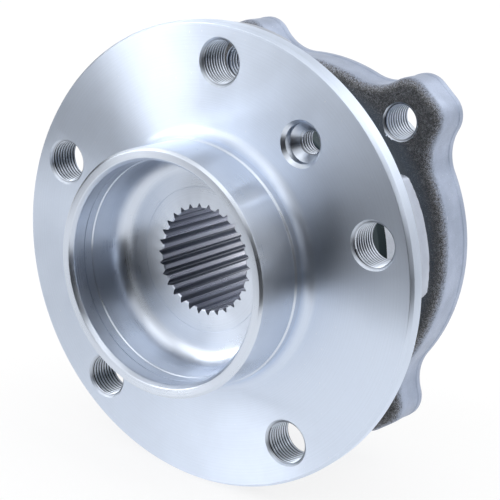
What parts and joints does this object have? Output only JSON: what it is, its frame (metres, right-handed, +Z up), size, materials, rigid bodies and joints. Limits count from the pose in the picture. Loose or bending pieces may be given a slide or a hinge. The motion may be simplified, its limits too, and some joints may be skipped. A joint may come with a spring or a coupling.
{
  "type": "wheel hub bearing unit",
  "caption": "Driven wheel hub: threaded round flange with hollow pilot and splined bore, turning on ball rows in a lugged outer ring.",
  "frame": {"origin": "centre of the wheel-bolt circle, in the plane of the wheel-mounting face and on the hub axis", "axes": "+Y along the hub axis from the wheel towards the vehicle, +Z up, +X towards the wide lug pair of the outer ring"},
  "size_m": [0.143, 0.102, 0.143],
  "materials": {
    "machined_steel": "fine turned steel with concentric tool marks",
    "forged_steel": "matt blasted forging",
    "ground_steel": "ground and polished",
    "sheet_steel": "plain pressed sheet",
    "polyamide": "moulded",
    "seal_rubber": "moulded",
    "encoder_rubber": "moulded and trimmed"
  },
  "bodies": {
    "carrier": {"outer_ring": "forged_steel", "outboard_seal_case": "sheet_steel", "outboard_seal_lip": "seal_rubber", "inboard_seal_case": "sheet_steel", "inboard_seal_lip": "seal_rubber"},
    "hub": {"hub": "machined_steel", "inner_ring": "ground_steel", "slinger": "sheet_steel", "encoder_ring": "encoder_rubber"},
    "outboard_row": {"outboard_cage": "polyamide", "outboard_ball_1": "ground_steel", "outboard_ball_2": "ground_steel", "outboard_ball_3": "ground_steel", "outboard_ball_4": "ground_steel", "outboard_ball_5": "ground_steel", "outboard_ball_6": "ground_steel", "outboard_ball_7": "ground_steel", "outboard_ball_8": "ground_steel", "outboard_ball_9": "ground_steel", "outboard_ball_10": "ground_steel", "outboard_ball_11": "ground_steel", "outboard_ball_12": "ground_steel", "outboard_ball_13": "ground_steel", "outboard_ball_14": "ground_steel"},
    "inboard_row": {"inboard_cage": "polyamide", "inboard_ball_1": "ground_steel", "inboard_ball_2": "ground_steel", "inboard_ball_3": "ground_steel", "inboard_ball_4": "ground_steel", "inboard_ball_5": "ground_steel", "inboard_ball_6": "ground_steel", "inboard_ball_7": "ground_steel", "inboard_ball_8": "ground_steel", "inboard_ball_9": "ground_steel", "inboard_ball_10": "ground_steel", "inboard_ball_11": "ground_steel", "inboard_ball_12": "ground_steel", "inboard_ball_13": "ground_steel", "inboard_ball_14": "ground_steel"}
  },
  "joints": [
    {"name": "hub_spin", "type": "hinge", "parent": "carrier", "child": "hub", "pos_m": [0, 0, 0], "axis": [0, 1, 0], "continuous": true},
    {"name": "outboard_row_orbit", "type": "hinge", "parent": "carrier", "child": "outboard_row", "pos_m": [0, 0.0315, 0], "axis": [0, 1, 0], "continuous": true},
    {"name": "inboard_row_orbit", "type": "hinge", "parent": "carrier", "child": "inboard_row", "pos_m": [0, 0.0605, 0], "axis": [0, 1, 0], "continuous": true}
  ],
  "couplings": [
    {"joint": "outboard_row_orbit", "follows": "hub_spin", "ratio": 0.4264},
    {"joint": "inboard_row_orbit", "follows": "hub_spin", "ratio": 0.4264}
  ]
}
